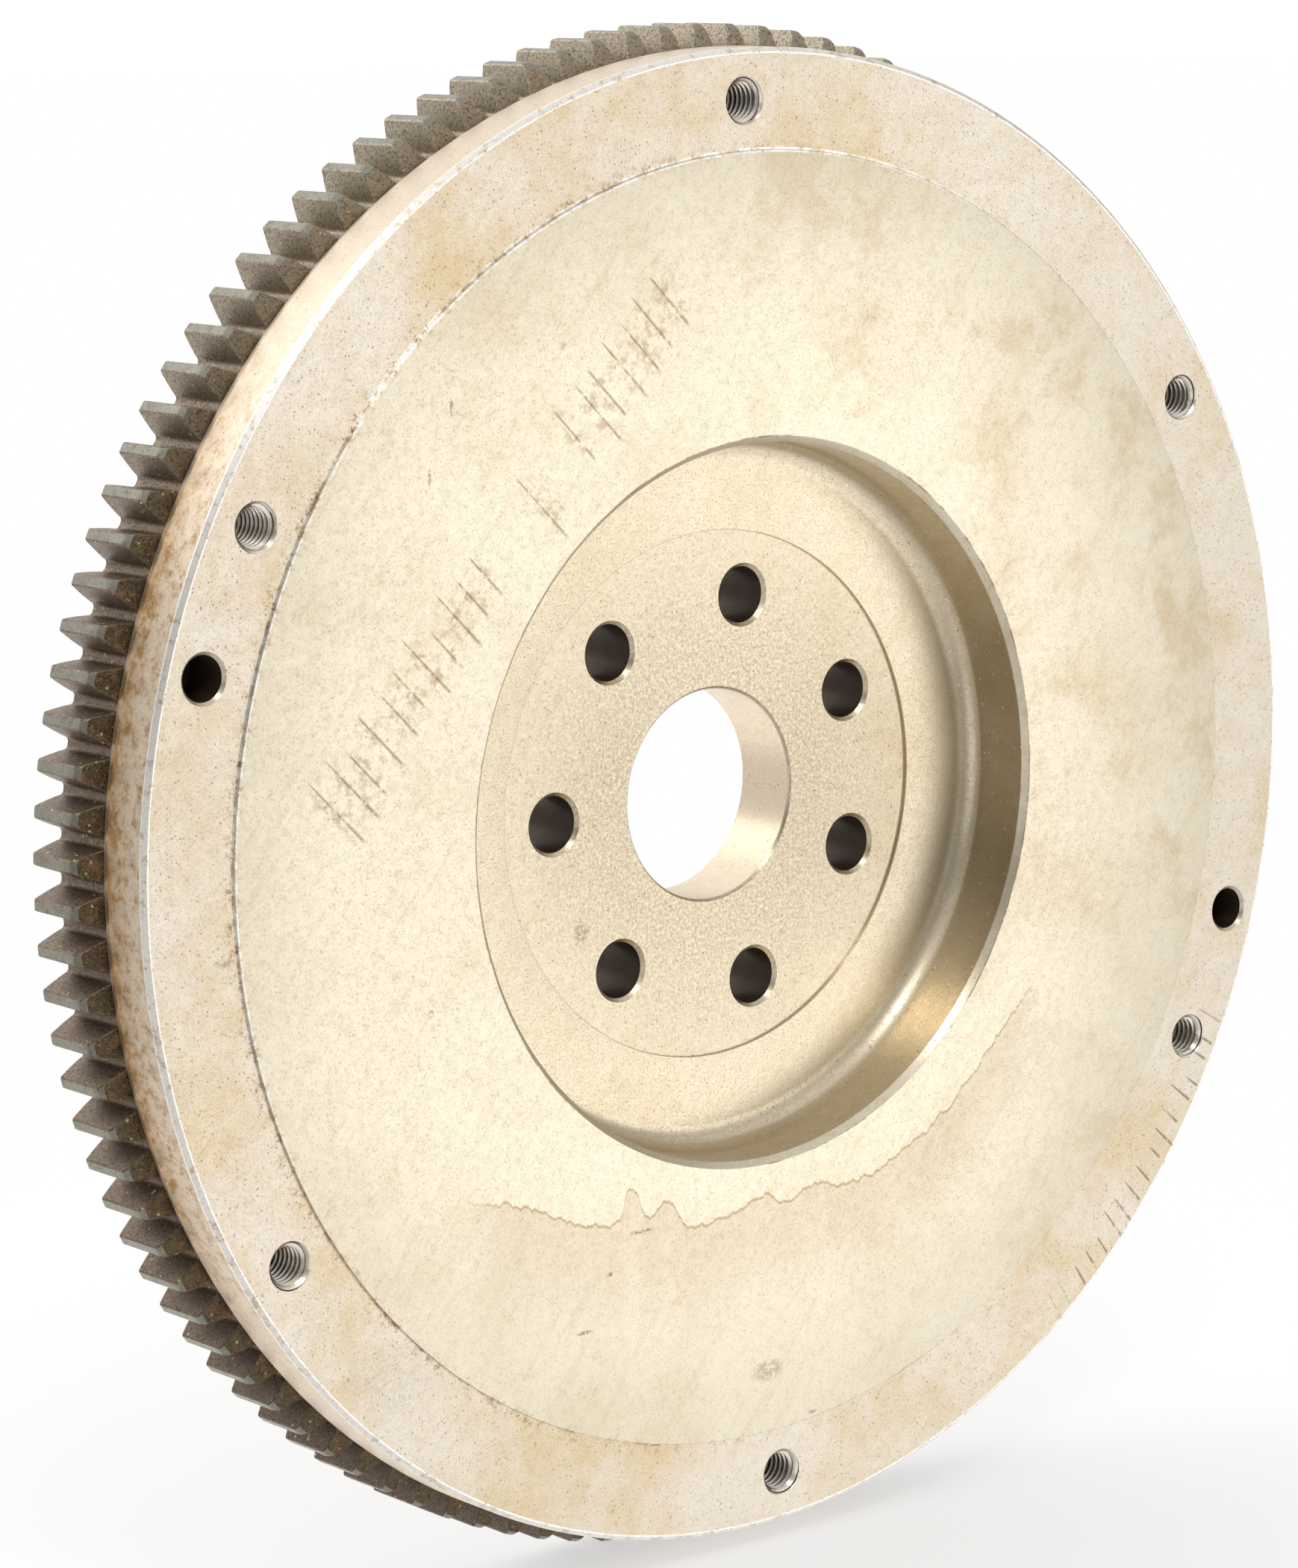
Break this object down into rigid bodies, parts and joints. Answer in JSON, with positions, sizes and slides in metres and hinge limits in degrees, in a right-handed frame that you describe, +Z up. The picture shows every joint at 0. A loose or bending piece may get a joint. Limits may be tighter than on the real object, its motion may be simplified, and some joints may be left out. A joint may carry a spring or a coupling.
{
  "type": "engine flywheel",
  "caption": "Round machined flywheel with a raised friction face, stepped hub, central bore and a shrunk-on starter ring gear.",
  "frame": {"origin": "centre of the crankshaft mounting face at the back of the hub", "axes": "Y is the axis of rotation, with +Y out of the back towards the crankshaft and -Y out of the clutch side; +Z is up and +X is to the right seen from the clutch side"},
  "size_m": [0.287, 0.0297, 0.287],
  "materials": {
    "turned_iron": "fine turned and ground iron, warm pale grey, lightly stained",
    "gear_steel": "cut gear steel, pale tooth lands and olive brown flanks with fine speckled rust"
  },
  "bodies": {
    "root": {"flywheel_disc": "turned_iron", "ring_gear": "gear_steel"}
  },
  "joints": []
}
